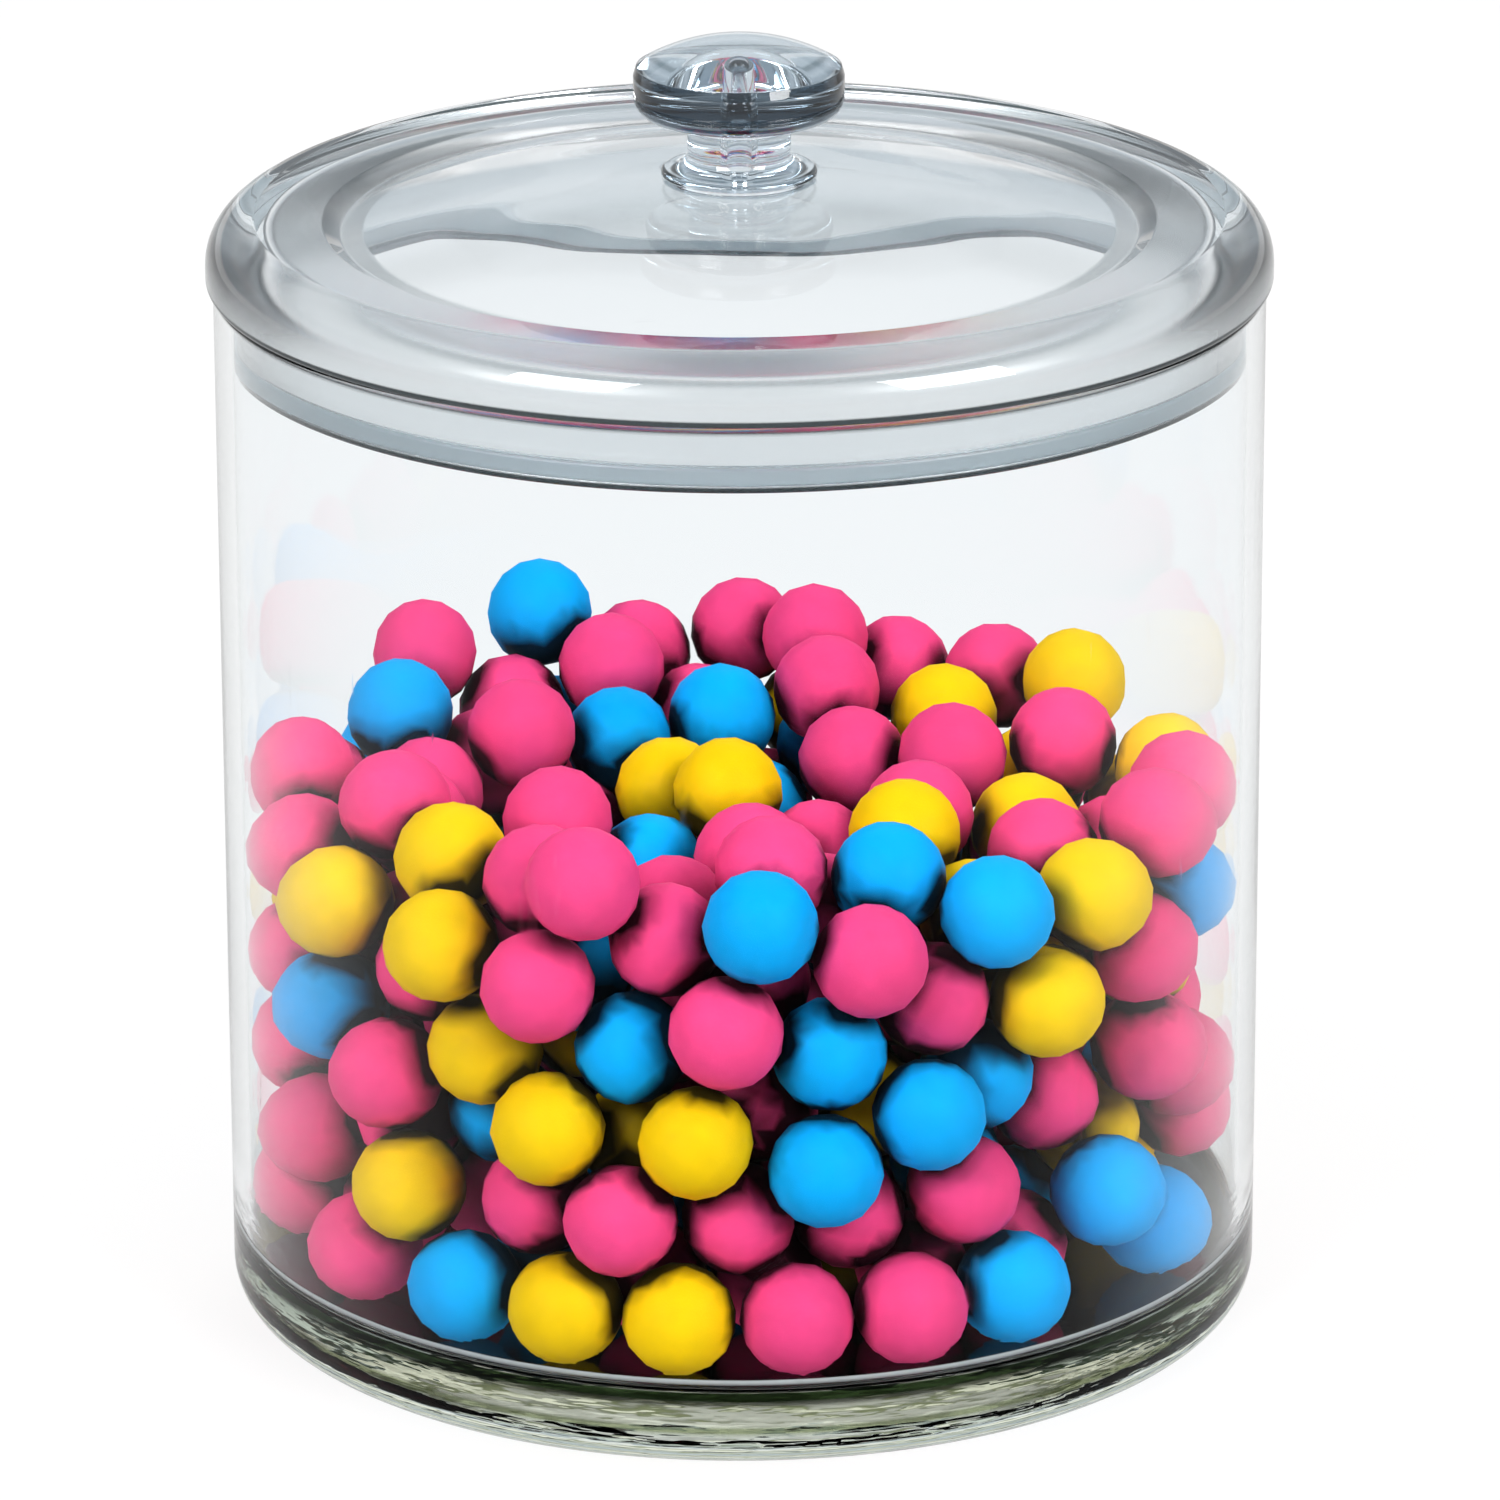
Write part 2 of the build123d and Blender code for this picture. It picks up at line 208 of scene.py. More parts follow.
class CandyBinLid(bpy.types.PropertyGroup):
    """Sizes of the clear lid."""

    radius: length("Radius", "Outside of the rim", LID_HIGH[0])
    rim_height: length("Rim height", "Underside of the rim to its top", 0.0141)
    rim_round: length("Rim rounding", "Outside top edge", 0.0104)
    rim_flat: length("Rim flat", "Top of the rim, inside its rounded edge", 0.0004)
    edge_round: length("Edge rounding", "Outside bottom edge of the rim", 0.0012)
    rest_gap: length("Rest gap", "Rim of the jar to the underside of the rim", 0.0003)
    thickness: length("Thickness", "Dome, straight down", 0.005)
    ridge_width: length("Ridge width", "Edge of the dome to the ridge round it", 0.004)
    ridge_drop: length("Ridge drop", "Ridge below the top of the rim", 0.0017)
    ridge_round: length("Ridge rounding", "Inner edge of the raised rim", 0.002)
    dome_radius: length("Dome radius", "Edge of the sunk dome", 0.087)
    dome_drop: length("Dome drop", "Edge of the dome below the ridge", 0.0022)
    dome_rise: length("Dome rise", "Middle of the dome above its edge", 0.0114)
    pad_radius: length("Pad radius", "Raised flat under the knob", 0.0173)
    pad_spread: length("Pad spread", "Where the pad's slope meets the dome", 0.070)
    pad_height: length("Pad height", "Raised flat above the dome", 0.0008)
    plug_clearance: length("Plug clearance", "Plug to jar wall", 0.0008)
    plug_depth: length("Plug depth", "Plug below the rim of the jar", 0.0152)
    plug_wall: length("Plug wall", "Thickness of the plug", 0.0054)
    plug_round: length("Plug rounding", "Both lower edges of the plug", 0.0006)
    under_round: length("Underside rounding", "Where the plug meets the dome", 0.003)
    groove_round: length("Groove rounding", "Edges of the seal's groove", 0.0002)


class CandyBinSeal(bpy.types.PropertyGroup):
    """Sizes and colour of the seal ring."""

    lip: length("Lip", "Plug left below the groove", 0.0015)
    height: length("Height", "Height of the groove", 0.0042)
    depth: length("Depth", "Groove into the plug wall", 0.0026)
    fit: length("Fit", "Seal to groove", 0.00005)
    rounding: length("Rounding", "Outer edges of the ring", 0.0008)
    inner_round: length("Inner rounding", "Inner edges of the ring", 0.0002)
    tint: colour("Tint", "Colour of the silicone", (0.50, 0.56, 0.60))


class CandyBinKnob(bpy.types.PropertyGroup):
    """Sizes of the clear knob."""

    bond_gap: length("Bond gap", "Pad to the underside of the knob", 0.00002)
    foot_radius: length("Foot radius", "Round foot on the pad", 0.017)
    foot_height: length("Foot height", "Edge of the foot", 0.0016)
    foot_flare: length("Foot flare", "Sweep from the foot into the stem", 0.004)
    foot_round: length("Foot rounding", "Edge of the foot", 0.001)
    stem_radius: length("Stem radius", "Narrow part", 0.0113)
    stem_height: length("Stem height", "Pad to the underside of the head", 0.0115)
    neck_round: length("Neck rounding", "Stem into the head", 0.0015)
    head_radius: length("Head radius", "Widest part", KNOB_HIGH[0])
    head_height: length("Head height", "Underside of the head to the edge of the crown", 0.0126)
    head_rise: length("Head rise", "Underside climbs from the stem outwards", 0.0025)
    head_round: length("Head rounding", "Lower edge of the head", 0.0045)
    crown_inset: length("Crown inset", "Bevel, inwards", 0.0006)
    crown_bevel: length("Crown bevel", "Bevel, downwards", 0.002)
    crown_rise: length("Crown rise", "Middle of the crown above its edge", 0.0062)
    crown_round: length("Crown rounding", "Edge of the crown", 0.0005)
    core_radius: length("Core radius", "Blind hole up the stem", 0.0027)
    core_depth: length("Core depth", "Depth of the blind hole", 0.0195)


class CandyBinGlass(bpy.types.PropertyGroup):
    """Finish of the clear pieces, with the colours of their bands of painted shade."""

    jar_depth_tint: colour("Jar depth tint", "Colour of thick jar glass", (0.55, 0.63, 0.48))
    lid_depth_tint: colour("Lid depth tint", "Colour of thick lid glass", (0.48, 0.61, 0.64))
    knob_depth_tint: colour("Knob depth tint", "Colour of thick knob glass", (0.40, 0.52, 0.60))
    # painted shade: near-black colour of the dark lines at the jar's mouth, the plug's lip and the
    # lid's contact line
    edge_painted_shade: colour("Edge tint", "Colour of the moulded edges", (0.002, 0.004, 0.005))
    # painted shade: the base's dark band and thin darker streak, with the nearly clear base_light
    # band between them
    base_painted_shade: colour("Base band", "Dark band round the base", (0.001, 0.003, 0.0005))
    base_painted_streak: colour("Base streak", "Colour of the thin band below it", (0.14, 0.17, 0.07))
    base_light: colour("Base light", "Colour between the two", (0.90, 0.91, 0.76))
    satin_tint: colour("Satin tint", "Colour of the inside of the plug", (0.62, 0.67, 0.69))
    # painted shade: dark band on the upright side of the knob's head
    knob_side_painted_shade: colour("Knob side", "Colour of the upright side of the knob", (0.05, 0.075, 0.10))
    jar_depth: amount("Jar depth", "How fast the jar's tint builds up, per metre", 2.5)
    lid_depth: amount("Lid depth", "How fast the lid's tint builds up, per metre", 3.0)
    knob_depth: amount("Knob depth", "How fast the knob's tint builds up, per metre", 22.0)
    jar_shine: share("Jar shine", "Mirror strength of the jar's wall", 0.01)
    lid_shine: share("Lid shine", "Mirror strength of the lid and knob", 1.0)
    bend: amount("Refraction", "Index of refraction", 1.49)
    smudge: share("Smudge", "Roughness of the handled patches", 0.02)
    scuff: share("Scuff", "Roughness of the fine scuffs", 0.20)
    milk: share("Milk", "How milky the inside corner of the jar is", 0.7)
    satin: share("Satin", "Roughness of the inside of the plug", 0.26)
    jar_wave: amount("Jar wave", "Height of the jar's waves, in millimetres", 0.12)
    lid_wave: amount("Lid wave", "Height of the lid's waves, in millimetres", 0.30)
    flow: amount("Flow", "Height of the flow marks in the base, in millimetres", 0.20)


class CandyBinSweets(bpy.types.PropertyGroup):
    """Sizes and colours of the gumballs."""

    radius: length("Radius", "Largest radius of a gumball", 0.0125)
    cells: bpy.props.IntProperty(
        name="Cells", description="Faces along each edge of a gumball's six sides",
        default=4, min=2, max=8,
    )
    unevenness: share("Unevenness", "How far a gumball is from a true ball", 0.02)
    # painted shade: darkest share of its colour that the painted shade in the heap's gaps leaves a
    # gumball
    gap: share("Gap", "Share of its colour that a gumball keeps in the gaps of the heap", 0.03)
    pink: colour("Pink", "Pink gumballs", (0.94, 0.066, 0.245))
    yellow: colour("Yellow", "Yellow gumballs", (0.98, 0.61, 0.002))
    blue: colour("Blue", "Blue gumballs", (0.001, 0.41, 0.95))


class CandyBinStage(bpy.types.PropertyGroup):
    """Floor, light and camera."""

    floor_size: length("Floor size", "Side of the floor", 16.0)
    floor_drop: length("Floor drop", "Floor below the foot ring", 0.0003)
    floor_colour: colour("Floor colour", "Matt floor", (0.50, 0.50, 0.50))
    backdrop: amount("Backdrop", "Brightness of the floor near the bin, as it is seen", 1.25)
    shadow: share("Shadow", "How much of the floor's own shading shows", 0.35)
    shadow_end: length("Shadow end", "Radius beyond which the floor shows no shading", 1.2)
    # painted shadow: a dark disc on the floor round the bin, seen only through glass
    painted_shadow_radius: length("Shaded", "Radius of the bin's own shade, seen through glass", 0.125)
    bright: length("Bright", "Radius beyond which that shade has gone", 0.145)
    mirrored: share("Mirrored", "How much of the backdrop's brightness reflections see", 0.5)
    sky: amount("Sky", "Even light from all round", 0.10)
    left_power: power("Left lamp", "Soft lamp in front, on the left", 51.0)
    right_power: power("Right lamp", "Soft lamp in front, on the right", 44.0)
    top_power: power("Top lamp", "Soft lamp overhead", 16.0)
    back_power: power("Back lamp", "Soft lamp behind", 26.0)
    camera_place: bpy.props.FloatVectorProperty(
        name="Camera place", description="Where the camera stands", size=3,
        default=(0.0019, -2.008, 0.8235), subtype="TRANSLATION", unit="LENGTH",
    )
    camera_pitch: angle("Camera pitch", "Camera below the level", 19.19)
    camera_roll: angle("Camera roll", "Turn about the line of sight", -0.2)
    camera_lens: bpy.props.FloatProperty(
        name="Focal length", description="Lens of the camera", default=229.56,
        subtype="DISTANCE_CAMERA", unit="CAMERA",
    )


# ---- Section and surface shapes --------------------------------------------------
def rounded(corners):
    """Outline through corners of (radius, height, rounding), as an array of (radius, height).

    At each inner corner an arc touches both sides: its centre lies on the bisector at
    rounding / sin(half the corner), and its points are the spherical blend of the two
    radii to the touching points. A point a hair outside each end keeps flat sides flat.
    """
    corners = np.asarray(corners, float)
    at, rounding = corners[1:-1, :2], corners[1:-1, 2:]
    run = np.diff(corners[:, :2], axis=0)
    side = np.linalg.norm(run, axis=1, keepdims=True)
    back, ahead = -run[:-1] / side[:-1], run[1:] / side[1:]
    half = np.arccos(np.clip((back * ahead).sum(1, keepdims=True), -1, 1)) / 2
    touch = rounding / np.tan(half)
    used = np.vstack([[[0.0]], touch, [[0.0]]])
    spare = side - used[:-1] - used[1:]
    if spare.min() < -SAME_POINT:
        raise ValueError("two rounded corners of a section overlap")
    hair = np.minimum(EDGE_MARGIN, spare / 3)
    bisector = back + ahead
    bisector /= np.maximum(np.linalg.norm(bisector, axis=1, keepdims=True), SAME_POINT)
    centre = at + bisector * rounding / np.sin(half)
    first, last = at + back * touch - centre, at + ahead * touch - centre
    sweep = np.maximum(pi - 2 * half, SAME_POINT)[:, None]
    step = np.linspace(0, 1, ARC_STEPS + 1)[None, :, None]
    arc = centre[:, None] + (
        np.sin((1 - step) * sweep) * first[:, None] + np.sin(step * sweep) * last[:, None]
    ) / np.sin(sweep)
    sharp = rounding <= 0
    before = at + back * np.where(sharp, 0, touch + hair[:-1])
    after = at + ahead * np.where(sharp, 0, touch + hair[1:])
    bends = np.concatenate([before[:, None], arc, after[:, None]], axis=1).reshape(-1, 2)
    outline = np.vstack([corners[:1, :2], bends, corners[-1:, :2]])
    moved = np.linalg.norm(np.diff(outline, axis=0), axis=1) > SAME_POINT
    return outline[np.r_[True, moved]]


def cap_drop(radius, edge, rise):
    """Fall from the top of a spherical cap: sphere radius less its height at a radius."""
    sphere = (edge**2 + rise**2) / (2 * rise)
    return sphere - np.sqrt(sphere**2 - np.asarray(radius) ** 2)


def plain(radii, heights):
    """Corners with no rounding, for a run of points on a curve."""
    return np.column_stack([radii, heights, np.zeros(len(radii))])


def turned(outline, segments, looped=False):
    """Surface of revolution: (radius cos t, radius sin t, height) over outline and turn t.

    An outline that ends on the axis gets one shared point there; a looped outline joins
    its last ring to its first. Returns points, four-sided faces and three-sided faces.
    """
    on_axis = outline[:, 0] < SAME_POINT
    rings = outline[~on_axis]
    turn = np.linspace(0, 2 * pi, segments, endpoint=False)
    points = np.stack(
        [
            rings[:, :1] * np.cos(turn),
            rings[:, :1] * np.sin(turn),
            np.broadcast_to(rings[:, 1:], (len(rings), segments)),
        ],
        axis=-1,
    ).reshape(-1, 3)
    grid = np.arange(len(rings) * segments).reshape(len(rings), segments)
    low, high = (grid, np.roll(grid, -1, axis=0)) if looped else (grid[:-1], grid[1:])
    quads = np.stack(
        [low, np.roll(low, -1, axis=1), np.roll(high, -1, axis=1), high], axis=-1
    ).reshape(-1, 4)
    fans = []
    for end, ring, flip in ((0, grid[0], False), (-1, grid[-1], True)):
        if on_axis[end]:
            pole = np.full(segments, len(points))
            points = np.vstack([points, [0.0, 0.0, outline[end, 1]]])
            sides = (np.roll(ring, -1), ring) if not flip else (ring, np.roll(ring, -1))
            fans.append(np.column_stack([pole, *sides]))
    return points, quads, np.vstack(fans) if fans else np.empty((0, 3), int)


def ball_grid(cells):
    """Unit ball from a cube: each side's even grid of angles, as tangents, is made unit long.

    Points shared by two sides are merged. Returns the points and four-sided faces, wound
    so that they face outwards.
    """
    tangent = np.tan(np.linspace(-pi / 4, pi / 4, cells + 1))
    across, along = np.meshgrid(tangent, tangent, indexing="ij")
    top = np.stack([across, along, np.ones_like(across)], axis=-1)
    sides = np.stack([
        side[..., axes]
        for side in (top, top * (1, -1, -1)) for axes in ([0, 1, 2], [2, 0, 1], [1, 2, 0])
    ])
    points = sides.reshape(-1, 3)
    points = points / np.linalg.norm(points, axis=1, keepdims=True)
    _, keep, same = np.unique(
        np.round(points, MERGE_DIGITS), axis=0, return_index=True, return_inverse=True
    )
    grid = same.reshape(6, cells + 1, cells + 1)
    quads = np.stack(
        [grid[:, :-1, :-1], grid[:, 1:, :-1], grid[:, 1:, 1:], grid[:, :-1, 1:]], axis=-1
    ).reshape(-1, 4)
    return points[keep], quads


def new_piece(name, points, quads, fans, material):
    """Puts a mesh into the scene as one smooth object at the origin, with its material."""
    if bpy.data.objects.get(name):
        raise RuntimeError(f"{name} is already there")
    mesh = bpy.data.meshes.new(name)
    mesh.from_pydata(points.tolist(), [], quads.tolist() + fans.tolist())
    mesh.polygons.foreach_set("use_smooth", np.ones(len(mesh.polygons), bool))
    mesh.update()
    if mesh.validate():
        raise RuntimeError(f"the mesh of {name} has faults")
    mesh.materials.append(material)
    piece = bpy.data.objects.new(name, mesh)
    bpy.context.scene.collection.objects.link(piece)
    return piece


# ---- Materials ---------------------------------------------------------------------
def put(tree, kind, settings=None, **inputs):
    """Adds a node. An input given an output is linked to it, and any other is set.

    An input is named with _ for a space, or by its number, as _0 for the first.
    """
    made = tree.nodes.new(kind)
    for name, value in (settings or {}).items():
        setattr(made, name, value)
    for name, value in inputs.items():
        number = name[1:]
        socket = made.inputs[int(number) if number.isdigit() else name.replace("_", " ")]
        if isinstance(value, bpy.types.NodeSocket):
            tree.links.new(value, socket)
        else:
            socket.default_value = value
    return made


def new_material(name):
    """An empty node material. Returns it with its node tree."""
    material = bpy.data.materials.new(name)
    material.use_nodes = True
    material.node_tree.nodes.clear()
    return material, material.node_tree


def spots(tree, where, size, detail=2.0, roughness=0.5):
    """Noise whose spots are about size metres across."""
    return put(
        tree, "ShaderNodeTexNoise", Vector=where, Scale=1 / size, Detail=detail, Roughness=roughness
    ).outputs["Fac"]


def remap(tree, value, low, high, to_low, to_high):
    """Stretches a value from one range to another, clamped."""
    return put(
        tree, "ShaderNodeMapRange", Value=value,
        From_Min=low, From_Max=high, To_Min=to_low, To_Max=to_high,
    ).outputs["Result"]


def colour_ramp(tree, value, stops):
    """Colours along a value from 0 to 1, from stops of (place, colour)."""
    ramp = put(tree, "ShaderNodeValToRGB", Fac=value)
    elements = ramp.color_ramp.elements
    elements.remove(elements[-1])
    for number, (place, tint) in enumerate(stops):
        element = elements.new(place) if number else elements[0]
        element.position, element.color = place, (*tint, 1)
    return ramp.outputs["Color"]


def clear_glass(
    name, look, depth_tint, depth, shine, wave_size, wave_height, bands, flow_top=0.0, satin=None
):
    """Polished clear glass: moulded waves, faint wiped patches, a tint that grows with depth, and
    painted shade:
    darker bands at given heights, standing in for the dark lines where moulded edges lead the light
    away sideways.

    flow_top is where the flow marks end. satin is an area of rougher glass: its inner and
    outer radius, its top and how milky it is.
    """
    material, tree = new_material(name)
    place = put(tree, "ShaderNodeTexCoord").outputs["Object"]
    height = put(tree, "ShaderNodeSeparateXYZ", Vector=place).outputs["Z"]
    waves = put(
        tree, "ShaderNodeBump", Strength=1.0, Distance=wave_height / 1000,
        Height=spots(tree, place, wave_size, 1.0),
    ).outputs["Normal"]
    if flow_top:
        flat = put(
            tree, "ShaderNodeMapping", Vector=place, Scale=(1, 1, FLOW_FLATNESS)
        ).outputs["Vector"]
        marks = put(
            tree, "ShaderNodeMath", {"operation": "MULTIPLY"},
            _0=spots(tree, flat, FLOW_SIZE, 3.0),
            _1=remap(tree, height, flow_top / 2, flow_top, 1, 0),
        )
        waves = put(
            tree, "ShaderNodeBump", Strength=1.0, Distance=look.flow / 1000,
            Height=marks.outputs[0], Normal=waves,
        ).outputs["Normal"]
    finish = remap(tree, spots(tree, place, SMUDGE_SIZE, 3.0), *SMUDGE_RANGE, 0.0, look.smudge)
    drawn = put(
        tree, "ShaderNodeMapping", Vector=place,
        Rotation=(0, 0, SCUFF_HEADING), Scale=(1, SCUFF_LENGTH, 1),
    )
    scuffs = spots(tree, drawn.outputs["Vector"], SCUFF_SIZE, 4.0, 0.6)
    finish = put(
        tree, "ShaderNodeMath", {"operation": "MAXIMUM"},
        _0=finish, _1=remap(tree, scuffs, *SCUFF_RANGE, 0.0, look.scuff),
    ).outputs[0]
    if satin:
        inner, outer, top, milk = satin
        across = put(
            tree, "ShaderNodeVectorMath", {"operation": "MULTIPLY"}, _0=place, _1=(1, 1, 0)
        )
        reach = put(tree, "ShaderNodeVectorMath", {"operation": "LENGTH"}, _0=across.outputs[0])
        below = remap(tree, height, top - EDGE_MARGIN, top, 1, 0)
        beyond = remap(tree, reach.outputs["Value"], inner, inner + EDGE_MARGIN, 0, 1)
        within = remap(tree, reach.outputs["Value"], outer, outer + EDGE_MARGIN, below, 0)
        wall = put(
            tree, "ShaderNodeMath", {"operation": "MULTIPLY"}, _0=beyond, _1=within
        ).outputs[0]
        rough = put(tree, "ShaderNodeMath", {"operation": "MULTIPLY"}, _0=wall, _1=look.satin)
        finish = put(
            tree, "ShaderNodeMath", {"operation": "MAXIMUM"}, _0=finish, _1=rough.outputs[0]
        ).outputs[0]
    # painted shade: colour by height from the bands, dark at the moulded edges
    low, high = bands[0][0], bands[-1][0]
    edges = colour_ramp(
        tree, remap(tree, height, low, high, 0, 1),
        [((z - low) / (high - low), tint) for z, tint in bands],
    )
    if satin:
        edges = put(
            tree, "ShaderNodeMixRGB", Fac=wall, Color1=edges, Color2=(*look.satin_tint, 1)
        ).outputs["Color"]
    clear = remap(tree, wall, 0, 1, 1, 1 - milk) if satin and milk else 1.0
    surface = put(
        tree, "ShaderNodeBsdfPrincipled", Base_Color=edges, Roughness=finish, IOR=look.bend,
        Transmission_Weight=clear, Specular_Tint=(shine, shine, shine, 1), Normal=waves,
    )
    passing = put(tree, "ShaderNodeBsdfTransparent", Color=LAMP_TINT)
    path = put(tree, "ShaderNodeLightPath")
    lamp_rays = put(
        tree, "ShaderNodeMath", {"operation": "MAXIMUM"},
        _0=path.outputs["Is Shadow Ray"], _1=path.outputs["Is Diffuse Ray"],
    )
    mix = put(
        tree, "ShaderNodeMixShader", _0=lamp_rays.outputs[0],
        _1=surface.outputs[0], _2=passing.outputs[0],
    )
    inside = put(tree, "ShaderNodeVolumeAbsorption", Color=(*depth_tint, 1), Density=depth)
    put(tree, "ShaderNodeOutputMaterial", Surface=mix.outputs[0], Volume=inside.outputs[0])
    return material


def silicone(name, tint):
    """Cloudy clear silicone with a satin skin."""
    material, tree = new_material(name)
    place = put(tree, "ShaderNodeTexCoord").outputs["Object"]
    skin = put(
        tree, "ShaderNodeBump", Strength=SILICONE_BUMP, Distance=SILICONE_GRAIN,
        Height=spots(tree, place, SILICONE_GRAIN_SIZE),
    )
    cloud = remap(tree, spots(tree, place, SILICONE_CLOUD_SIZE), *CLOUD_RANGE, *SILICONE_CLOUD)
    surface = put(
        tree, "ShaderNodeBsdfPrincipled", Base_Color=(*tint, 1), Roughness=cloud,
        IOR=SILICONE_BEND, Transmission_Weight=SILICONE_CLEAR, Normal=skin.outputs["Normal"],
    )
    put(tree, "ShaderNodeOutputMaterial", Surface=surface.outputs[0])
    return material


def sugar_shell(name, tint, gap):
    """Matt sugar shell: each ball a touch lighter or darker, cloudy dye, fine grain, and painted
    shade: its colour goes down to the share `gap` where other balls hem it in, for the shade in the
    gaps of the heap."""
    material, tree = new_material(name)
    place = put(tree, "ShaderNodeTexCoord").outputs["Object"]
    ball = put(tree, "ShaderNodeAttribute", {"attribute_name": "shade"}).outputs["Fac"]
    noise = spots(tree, place, SUGAR_CLOUD_SIZE, 3.0, 0.6)
    cloudy = remap(tree, noise, *DYE_RANGE, *SUGAR_CLOUD)
    own = remap(tree, ball, 0.0, 1.0, *SUGAR_SHADE)
    level = put(tree, "ShaderNodeMath", {"operation": "MULTIPLY"}, _0=cloudy, _1=own).outputs[0]
    # painted shade: darkens the dye where neighbouring balls hem the point in
    crowd = put(tree, "ShaderNodeAttribute", {"attribute_name": "crowd"}).outputs["Fac"]
    level = put(
        tree, "ShaderNodeMath", {"operation": "MULTIPLY"},
        _0=level, _1=remap(tree, crowd, *PAINTED_SHADE_CROWD_RANGE, 1.0, gap),
    ).outputs[0]
    dye = put(tree, "ShaderNodeHueSaturation", Color=(*tint, 1), Value=level)
    grain = put(
        tree, "ShaderNodeBump", Strength=SUGAR_BUMP, Distance=SUGAR_GRAIN,
        Height=spots(tree, place, SUGAR_GRAIN_SIZE, 4.0, 0.65),
    )
    dusting = remap(tree, spots(tree, place, SUGAR_DUSTING_SIZE), *CLOUD_RANGE, *SUGAR_DUSTING)
    surface = put(
        tree, "ShaderNodeBsdfPrincipled", Base_Color=dye.outputs[0], Roughness=dusting,
        Normal=grain.outputs["Normal"], Specular_IOR_Level=SUGAR_SHINE,
    )
    put(tree, "ShaderNodeOutputMaterial", Surface=surface.outputs[0])
    return material


# ---- Pieces ------------------------------------------------------------------------
class CandyBinMakeJar(bpy.types.Operator):
    """Make the clear jar with its heavy base"""

    bl_idname = "candy_bin.jar"
    bl_label = "Jar"

    def execute(self, context):
        jar, look = context.scene.candy_bin_jar, context.scene.candy_bin_glass
        bore = jar.radius - jar.wall
        ring = jar.radius - jar.heel_round - jar.foot_width
        section = [
            (0, jar.recess, 0),
            (ring, jar.recess, jar.recess_round),
            (ring, 0, jar.foot_round),
            (jar.radius, 0, jar.heel_round),
            (jar.radius, jar.height, jar.rim_round),
            (bore, jar.height, jar.rim_round),
            (bore, jar.base, jar.floor_round),
            (0, jar.base, 0),
        ]
        glass = clear_glass(
            "jar_glass", look, look.jar_depth_tint, look.jar_depth, look.jar_shine,
            JAR_WAVE_SIZE, look.jar_wave,
            [
                # painted shade: dark band and thin streak in the base, with a nearly clear band
                # between
                (0, CLEAR), (PAINTED_STREAK[0] * jar.base, CLEAR),
                (PAINTED_STREAK[1] * jar.base, look.base_painted_streak), (PAINTED_STREAK[2] * jar.base, look.base_painted_streak),
                (PAINTED_STREAK[3] * jar.base, look.base_light), (PAINTED_BASE_SHADE[0] * jar.base, look.base_light),
                (PAINTED_BASE_SHADE[1] * jar.base, look.base_painted_shade),
                (jar.base + PAINTED_BASE_SHADE_END[0] * jar.floor_round, look.base_painted_shade),
                (jar.base + PAINTED_BASE_SHADE_END[1] * jar.floor_round, CLEAR),
                # painted shade: dark line at the mouth of the jar
                (jar.height - RIM_PAINTED_SHADE[0] * jar.rim_round, CLEAR),
                (jar.height - RIM_PAINTED_SHADE[1] * jar.rim_round, look.edge_painted_shade),
                (jar.height - BAND_EDGE, look.edge_painted_shade), (jar.height, CLEAR),
            ],
            flow_top=2 * jar.base,
            satin=(
                bore - CORNER_MILK * jar.floor_round, bore + EDGE_MARGIN,
                jar.base + jar.floor_round, look.milk,
            ),
        )
        piece = new_piece("jar_vessel", *turned(rounded(section), JAR_SEGMENTS), glass)
        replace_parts(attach(piece, "jar_body"), "jar")
        return {"FINISHED"}


